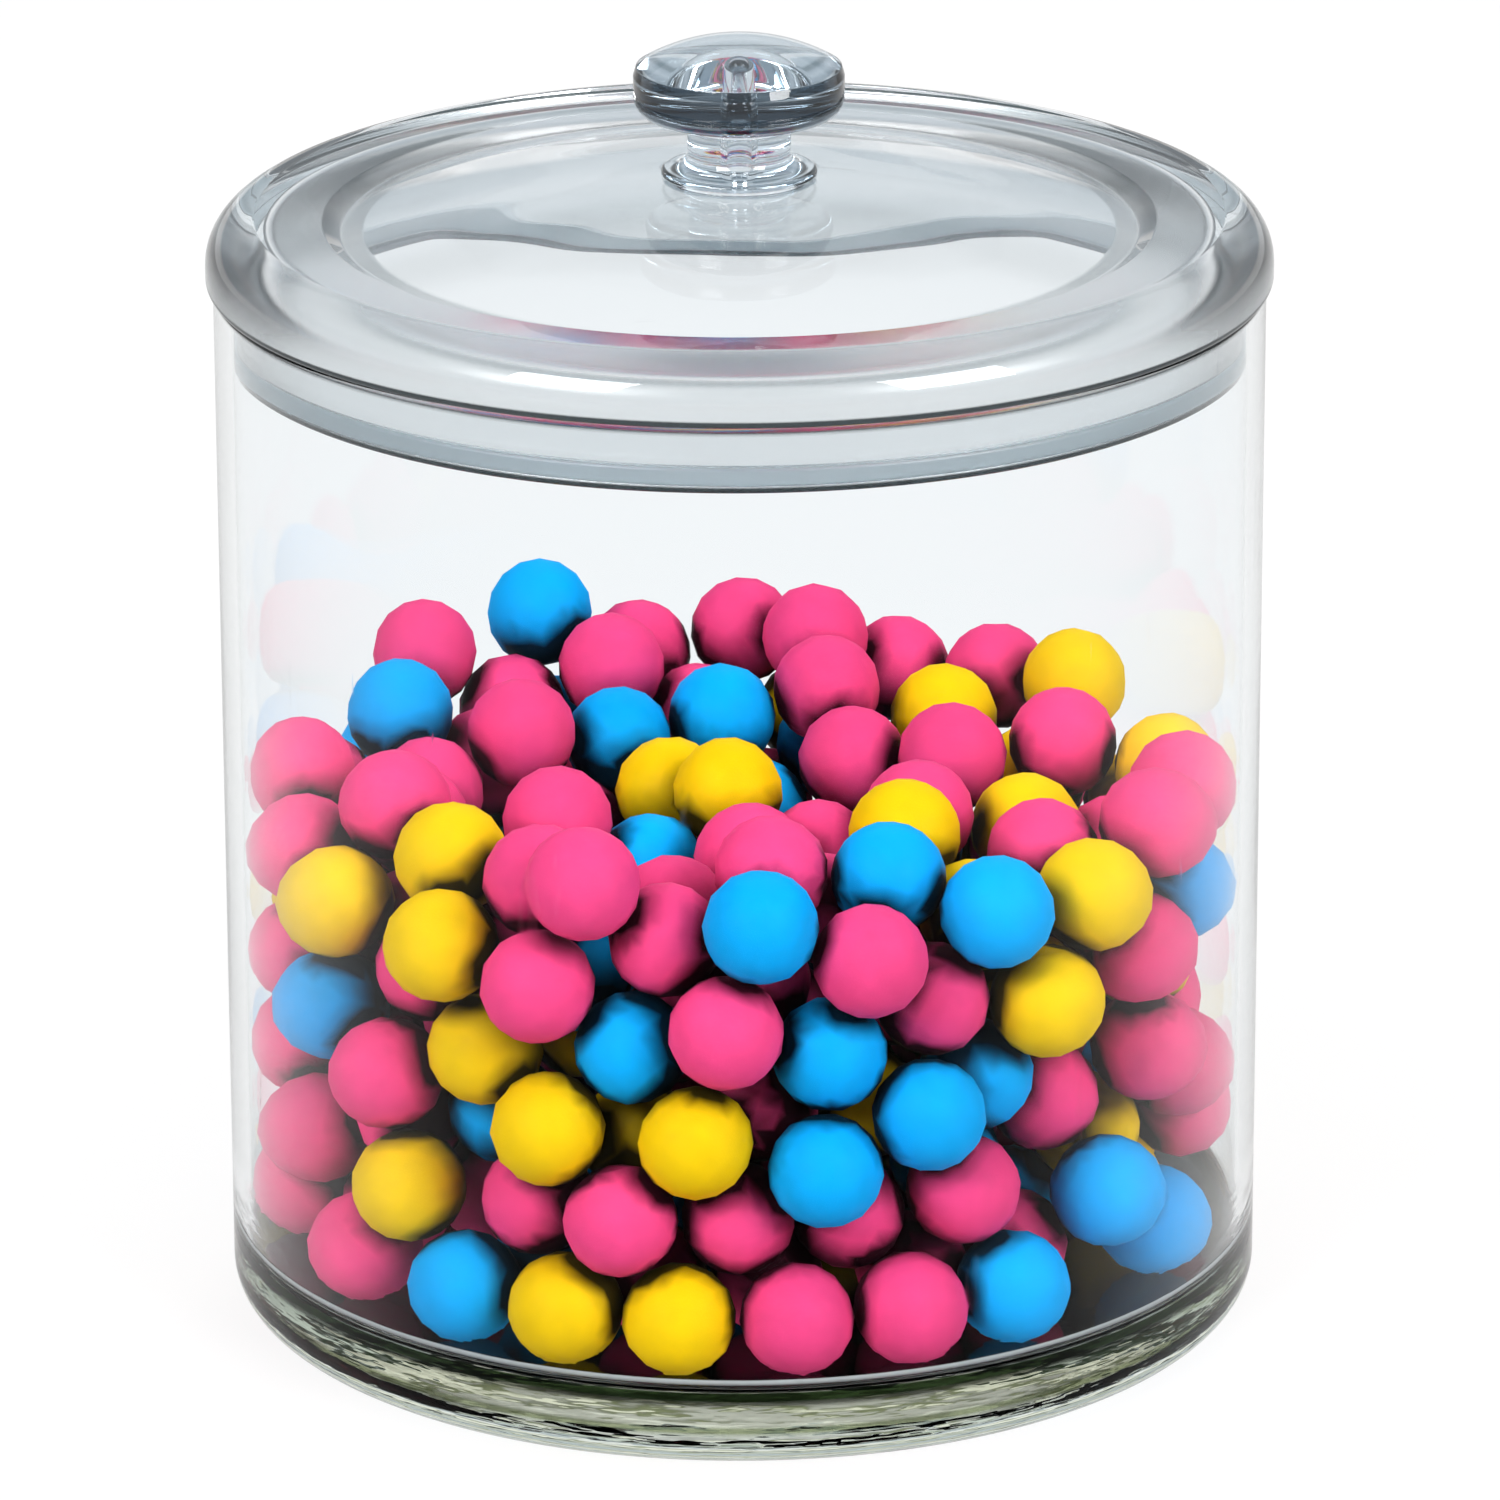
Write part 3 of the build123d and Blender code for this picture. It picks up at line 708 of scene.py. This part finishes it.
class CandyBinMakeLid(bpy.types.Operator):
    """Make the clear lid: rounded rim, sunk dome and the plug with its groove"""

    bl_idname = "candy_bin.lid"
    bl_label = "Lid"

    def execute(self, context):
        lid, seal = context.scene.candy_bin_lid, context.scene.candy_bin_seal
        jar, look = context.scene.candy_bin_jar, context.scene.candy_bin_glass
        bottom = jar.height + lid.rest_gap
        top = bottom + lid.rim_height
        flat_edge = lid.radius - lid.rim_round - lid.rim_flat
        ridge, ridge_z = lid.dome_radius + lid.ridge_width, top - lid.ridge_drop
        dome_edge_z = ridge_z - lid.dome_drop
        dome_top = dome_edge_z + lid.dome_rise
        pad_z = dome_top + lid.pad_height
        plug = jar.radius - jar.wall - lid.plug_clearance
        plug_inner, plug_bottom = plug - lid.plug_wall, jar.height - lid.plug_depth
        groove, groove_bottom = plug - seal.depth, plug_bottom + seal.lip
        groove_top = groove_bottom + seal.height

        def on_dome(radius):
            return dome_top - cap_drop(radius, lid.dome_radius, lid.dome_rise)

        under = np.linspace(0, lid.dome_radius, UNDER_POINTS)
        dome = np.linspace(lid.dome_radius, lid.pad_spread, DOME_POINTS)[1:]
        slope = np.linspace(lid.pad_spread, lid.pad_radius, SLOPE_POINTS)[1:]
        climb = (lid.pad_spread - slope) / (lid.pad_spread - lid.pad_radius)
        climb = climb**2 * (3 - 2 * climb)
        section = np.vstack([
            plain(under, on_dome(under) - lid.thickness),
            (plug_inner, dome_edge_z - lid.thickness, lid.under_round),
            (plug_inner, plug_bottom, lid.plug_round),
            (plug, plug_bottom, lid.plug_round),
            (plug, groove_bottom, lid.groove_round),
            (groove, groove_bottom, lid.groove_round),
            (groove, groove_top, lid.groove_round),
            (plug, groove_top, lid.groove_round),
            (plug, bottom, lid.groove_round),
            (lid.radius, bottom, lid.edge_round),
            (lid.radius, top, lid.rim_round),
            (flat_edge, top, lid.edge_round),
            (ridge, ridge_z, lid.ridge_round),
            (lid.dome_radius, dome_edge_z, lid.edge_round),
            plain(dome, on_dome(dome)),
            plain(slope, on_dome(slope) + climb * (pad_z - on_dome(lid.pad_radius))),
            (0, pad_z, 0),
        ])
        lip = LIP_PAINTED_SHADE * seal.lip
        glass = clear_glass(
            "lid_glass", look, look.lid_depth_tint, look.lid_depth, look.lid_shine,
            LID_WAVE_SIZE, look.lid_wave,
            [
                # painted shade: dark lines at the plug's lip and where the lid meets the jar
                (plug_bottom, CLEAR), (plug_bottom + BAND_EDGE, look.edge_painted_shade),
                (plug_bottom + lip, look.edge_painted_shade), (plug_bottom + lip + EDGE_MARGIN, CLEAR),
                (bottom, CLEAR), (bottom + BAND_EDGE, look.edge_painted_shade),
                (bottom + CONTACT_PAINTED_SHADE[0] * lid.edge_round, look.edge_painted_shade),
                (bottom + CONTACT_PAINTED_SHADE[1] * lid.edge_round, CLEAR), (top, CLEAR),
            ],
            satin=(
                plug_inner - SATIN_INWARDS, plug_inner + lid.plug_wall / 3,
                dome_edge_z - lid.thickness + SATIN_CLIMB, 0,
            ),
        )
        piece = new_piece("lid_cover", *turned(rounded(section), LID_SEGMENTS), glass)
        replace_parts(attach(piece, "lid_body"), "lid")
        return {"FINISHED"}


class CandyBinMakeSeal(bpy.types.Operator):
    """Make the seal ring in the groove of the plug"""

    bl_idname = "candy_bin.seal"
    bl_label = "Seal ring"

    def execute(self, context):
        seal = context.scene.candy_bin_seal
        low, high, outer = SEAL_LOW[2], SEAL_HIGH[2], SEAL_HIGH[0]
        inner = outer - seal.depth - SEAL_STAND_OUT + seal.fit
        middle = (low + high) / 2
        section = rounded([
            (outer, middle, 0),
            (outer, high, seal.rounding),
            (inner, high, seal.inner_round),
            (inner, low, seal.inner_round),
            (outer, low, seal.rounding),
            (outer, middle, 0),
        ])
        ring = turned(section[:-1], SEAL_SEGMENTS, looped=True)
        piece = new_piece("lid_seal_ring", *ring, silicone("seal_silicone", seal.tint))
        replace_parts(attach(piece, "lid_body"), "lid_seal")
        return {"FINISHED"}


class CandyBinMakeKnob(bpy.types.Operator):
    """Make the clear knob with its blind core"""

    bl_idname = "candy_bin.knob"
    bl_label = "Knob"

    def execute(self, context):
        knob, look = context.scene.candy_bin_knob, context.scene.candy_bin_glass
        pad_z = KNOB_LOW[2]
        foot = pad_z + knob.bond_gap
        foot_top = pad_z + knob.foot_height
        head = pad_z + knob.stem_height
        crown_z = head + knob.head_height
        crown = knob.head_radius - knob.crown_inset
        core_z = pad_z + knob.core_depth - knob.core_radius
        bend = np.linspace(0, pi / 2, CORE_POINTS)[:-1]
        cap = np.linspace(crown, 0, CROWN_POINTS)[1:]
        crown_top = crown_z + knob.crown_rise
        section = np.vstack([
            plain(knob.core_radius * np.sin(bend), core_z + knob.core_radius * np.cos(bend)),
            (knob.core_radius, core_z, 0),
            (knob.core_radius, foot, knob.crown_round / 2),
            (knob.foot_radius, foot, knob.crown_round / 2),
            (knob.foot_radius, foot_top, knob.foot_round),
            (knob.stem_radius, foot_top, knob.foot_flare),
            (knob.stem_radius, head, knob.neck_round),
            (knob.head_radius, head + knob.head_rise, knob.head_round),
            (knob.head_radius, crown_z - knob.crown_bevel, knob.crown_round),
            (crown, crown_z, knob.crown_round),
            plain(cap, crown_top - cap_drop(cap, crown, knob.crown_rise)),
        ])
        glass = clear_glass(
            "knob_glass", look, look.knob_depth_tint, look.knob_depth, look.lid_shine,
            KNOB_WAVE_SIZE, look.jar_wave,
            [
                (pad_z, CLEAR), (head + knob.head_rise, CLEAR),
                # painted shade: dark band up the upright side of the head
                (head + 2 * knob.head_rise, look.knob_side_painted_shade),
                (crown_z - 2 * knob.crown_bevel, look.knob_side_painted_shade),
                (crown_z, CLEAR), (crown_top, CLEAR),
            ],
        )
        piece = new_piece("lid_knob", *turned(rounded(section), KNOB_SEGMENTS), glass)
        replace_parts(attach(piece, "lid_body"), "knob")
        return {"FINISHED"}


def ball_centres(node, radius):
    """Middles of a node's balls: each face's own middle, moved in along its normal by the
    radius, lies close to one of them, and those close together are averaged. Slivers at
    the poles of a ball have no sure normal and are left out."""
    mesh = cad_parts[node].data
    middles, normals = np.empty((2, len(mesh.polygons) * 3))
    areas = np.empty(len(mesh.polygons))
    mesh.polygons.foreach_get("center", middles)
    mesh.polygons.foreach_get("normal", normals)
    mesh.polygons.foreach_get("area", areas)
    guesses = (middles - radius * normals).reshape(-1, 3)
    guesses = guesses[areas > SLIVER * areas.mean()]
    centres = []
    while len(guesses):
        near = np.linalg.norm(guesses - guesses[0], axis=1) < radius / 2
        centres.append(guesses[near].mean(axis=0))
        guesses = guesses[~near]
    return np.array(centres)


def painted_shade_crowding(points, outward, centres, radius):
    """How hemmed in each point is, for the painted shade of the gumballs: the fourth power of
    radius over distance, times the cosine between the outward way and the way to a centre, added up
    over the balls ahead."""
    way = centres[None] - points[:, None]
    distance = np.linalg.norm(way, axis=2)
    ahead = np.einsum("pci,pi->pc", way, outward) / distance
    return (np.maximum(ahead, 0) * (radius / distance)**4).sum(axis=1)


def rotations(quaternions):
    """Turning matrices of quaternions (w, x, y, z), made unit long first: the usual nine
    products of their parts."""
    w, x, y, z = (quaternions / np.linalg.norm(quaternions, axis=1, keepdims=True)).T
    return np.stack([
        1 - 2 * (y * y + z * z), 2 * (x * y - z * w), 2 * (x * z + y * w),
        2 * (x * y + z * w), 1 - 2 * (x * x + z * z), 2 * (y * z - x * w),
        2 * (x * z - y * w), 2 * (y * z + x * w), 1 - 2 * (x * x + y * y),
    ], axis=-1).reshape(-1, 3, 3)


class CandyBinMakeSweets(bpy.types.Operator):
    """Make the gumballs of all three colours"""

    bl_idname = "candy_bin.sweets"
    bl_label = "Gumballs"

    def execute(self, context):
        sweets = context.scene.candy_bin_sweets
        unit, quads = ball_grid(sweets.cells)
        names = ("pink", "yellow", "blue")
        colours = [ball_centres("gumballs_" + name, sweets.radius) for name in names]
        heap = np.concatenate(colours)
        for seed, (name, centres) in enumerate(zip(names, colours)):
            chance = np.random.default_rng(seed)
            turns = rotations(chance.normal(size=(len(centres), 4)))
            squash = 1 - sweets.unevenness * chance.random((len(centres), 1, 3))
            balls = np.einsum("bij,bpj->bpi", turns, unit * squash)
            points = (centres[:, None] + sweets.radius * balls).reshape(-1, 3)
            first = len(unit) * np.arange(len(centres))[:, None, None]
            faces = (quads + first).reshape(-1, 4)
            shell = sugar_shell(f"{name}_sugar", getattr(sweets, name), sweets.gap)
            piece = new_piece(f"sweets_{name}", points, faces, np.empty((0, 3), int), shell)
            shade = piece.data.attributes.new("shade", "FLOAT", "POINT")
            shade.data.foreach_set("value", np.repeat(chance.random(len(centres)), len(unit)))
            # how hemmed in each point is, for the painted shade in the gaps of the heap
            crowd = piece.data.attributes.new("crowd", "FLOAT", "POINT")
            outward = balls.reshape(-1, 3)
            crowd.data.foreach_set("value", painted_shade_crowding(points, outward, heap, sweets.radius))
            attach(piece, "jar_body")
            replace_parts(piece, "gumballs_" + name)
        return {"FINISHED"}


# ---- Stage -------------------------------------------------------------------------
def seen_rays(tree, mirrored=1.0):
    """1 where the camera looks, straight or through glass, and mirrored in a reflection."""
    path = put(tree, "ShaderNodeLightPath")
    reflection = put(
        tree, "ShaderNodeMath", {"operation": "MULTIPLY"},
        _0=path.outputs["Is Glossy Ray"], _1=mirrored,
    )
    through = put(
        tree, "ShaderNodeMath", {"operation": "MAXIMUM"},
        _0=reflection.outputs[0], _1=path.outputs["Is Transmission Ray"],
    )
    return put(
        tree, "ShaderNodeMath", {"operation": "MAXIMUM"},
        _0=path.outputs["Is Camera Ray"], _1=through.outputs[0],
    ).outputs[0]


def floor_material(stage):
    """Matt floor that looks like the white backdrop and keeps a soft shadow. Through glass it shows
    a
    painted shadow: a dark disc close to the bin, standing in for the bin's shade."""
    material, tree = new_material("stage_floor")
    matt = put(tree, "ShaderNodeBsdfDiffuse", Color=(*stage.floor_colour, 1))
    place = put(tree, "ShaderNodeTexCoord").outputs["Object"]
    away = put(tree, "ShaderNodeVectorMath", {"operation": "LENGTH"}, _0=place).outputs["Value"]
    # painted shadow: dark disc round the bin, for rays that come through glass
    shade = remap(tree, away, stage.painted_shadow_radius, stage.bright, 1, 0)
    path = put(tree, "ShaderNodeLightPath")
    painted_shadow = put(
        tree, "ShaderNodeMath", {"operation": "MULTIPLY"},
        _0=shade, _1=path.outputs["Is Transmission Ray"],
    )
    seen = put(tree, "ShaderNodeMath", {"operation": "SUBTRACT"}, _0=1.0, _1=painted_shadow.outputs[0])
    level = put(
        tree, "ShaderNodeMath", {"operation": "MULTIPLY"}, _0=seen.outputs[0],
        _1=remap(tree, away, stage.bright, stage.shadow_end, stage.backdrop, 1),
    )
    glow = put(tree, "ShaderNodeEmission", Color=(1, 1, 1, 1), Strength=level.outputs[0])
    own = remap(tree, away, stage.bright, stage.shadow_end, 1 - stage.shadow, 1)
    part = put(
        tree, "ShaderNodeMath", {"operation": "MULTIPLY"},
        _0=seen_rays(tree, stage.mirrored), _1=own,
    )
    most = put(
        tree, "ShaderNodeMath", {"operation": "MAXIMUM"}, _0=part.outputs[0], _1=painted_shadow.outputs[0]
    )
    mix = put(
        tree, "ShaderNodeMixShader", _0=most.outputs[0], _1=matt.outputs[0], _2=glow.outputs[0]
    )
    put(tree, "ShaderNodeOutputMaterial", Surface=mix.outputs[0])
    return material


def light_world(stage):
    """Even light for matt things, and for glass a studio with bands of dark and light."""
    world = bpy.data.worlds.new("studio")
    world.use_nodes = True
    bpy.context.scene.world = world
    tree = world.node_tree
    tree.nodes.clear()
    heading = put(tree, "ShaderNodeTexCoord").outputs["Generated"]
    rise = remap(
        tree, put(tree, "ShaderNodeSeparateXYZ", Vector=heading).outputs["Z"], -1, 1, 0, 1
    )
    path = put(tree, "ShaderNodeLightPath")
    bands = put(
        tree, "ShaderNodeMixRGB", Fac=path.outputs["Is Camera Ray"],
        Color1=colour_ramp(tree, rise, SKY_BANDS), Color2=(1, 1, 1, 1),
    )
    studio = put(tree, "ShaderNodeBackground", Color=bands.outputs["Color"], Strength=1.0)
    even = put(tree, "ShaderNodeBackground", Color=(1, 1, 1, 1), Strength=stage.sky)
    mix = put(
        tree, "ShaderNodeMixShader", _0=seen_rays(tree), _1=even.outputs[0], _2=studio.outputs[0]
    )
    put(tree, "ShaderNodeOutputWorld", Surface=mix.outputs[0])


def area_lamp(name, place, aim, size, watts, mirrored):
    """A square soft lamp at a place, turned towards aim. Glass shows it where mirrored."""
    lamp = bpy.data.lights.new(name, "AREA")
    lamp.energy, lamp.size = watts, size
    holder = bpy.data.objects.new(name, lamp)
    holder.location = place
    holder.visible_glossy = holder.visible_transmission = mirrored
    away = [p - a for p, a in zip(place, aim)]
    across = sqrt(away[0] ** 2 + away[1] ** 2)
    holder.rotation_euler = (atan2(across, away[2]), 0, atan2(away[1], away[0]) + pi / 2)
    bpy.context.scene.collection.objects.link(holder)


class CandyBinMakeStage(bpy.types.Operator):
    """Make the floor, the light and the camera"""

    bl_idname = "candy_bin.stage"
    bl_label = "Stage"

    def execute(self, context):
        stage = context.scene.candy_bin_stage
        half = stage.floor_size / 2
        corners = np.array([(-half, -half), (half, -half), (half, half), (-half, half)])
        points = np.column_stack([corners, np.full(4, -stage.floor_drop)])
        floor = new_piece(
            "floor", points, np.array([[0, 1, 2, 3]]), np.empty((0, 4), int), floor_material(stage)
        )
        light_world(stage)
        middle = (0, 0, JAR_HIGH[2] / 2)
        for name, place, size, setting, mirrored in LAMPS:
            area_lamp(name, place, middle, size, getattr(stage, setting), mirrored)
        camera = bpy.data.objects.new("camera", bpy.data.cameras.new("camera"))
        camera.location = stage.camera_place
        camera.rotation_mode = "XYZ"
        camera.rotation_euler = (pi / 2 - stage.camera_pitch, 0, 0)
        camera.rotation_euler.rotate_axis("Z", stage.camera_roll)
        camera.data.lens = stage.camera_lens
        camera.data.sensor_width = SENSOR_WIDTH
        camera.data.clip_end = FAR
        context.scene.collection.objects.link(camera)
        context.scene.camera = camera
        context.scene.view_settings.view_transform = "Standard"
        return {"FINISHED"}


# ---- Add-on ------------------------------------------------------------------------
class CandyBinPanel(bpy.types.Panel):
    """Lists the pieces of the candy bin"""

    bl_idname = "VIEW3D_PT_candy_bin"
    bl_label = "Candy Bin"
    bl_space_type = "VIEW_3D"
    bl_region_type = "UI"
    bl_category = "Candy Bin"

    def draw(self, context):
        for maker in MAKERS:
            self.layout.operator(maker.bl_idname)


SETTINGS = {
    "candy_bin_jar": CandyBinJar,
    "candy_bin_lid": CandyBinLid,
    "candy_bin_seal": CandyBinSeal,
    "candy_bin_knob": CandyBinKnob,
    "candy_bin_glass": CandyBinGlass,
    "candy_bin_sweets": CandyBinSweets,
    "candy_bin_stage": CandyBinStage,
}
MAKERS = (
    CandyBinMakeStage,
    CandyBinMakeJar,
    CandyBinMakeLid,
    CandyBinMakeSeal,
    CandyBinMakeKnob,
    CandyBinMakeSweets,
)


def register():
    for group in (*SETTINGS.values(), *MAKERS, CandyBinPanel):
        bpy.utils.register_class(group)
    for name, group in SETTINGS.items():
        setattr(bpy.types.Scene, name, bpy.props.PointerProperty(type=group))


def unregister():
    for name in SETTINGS:
        delattr(bpy.types.Scene, name)
    for group in (CandyBinPanel, *reversed(MAKERS), *reversed(SETTINGS.values())):
        bpy.utils.unregister_class(group)


def main():
    register()
    bpy.ops.candy_bin.stage()
    bpy.ops.candy_bin.jar()
    bpy.ops.candy_bin.lid()
    bpy.ops.candy_bin.seal()
    bpy.ops.candy_bin.knob()
    bpy.ops.candy_bin.sweets()


if __name__ == "__main__":
    main()
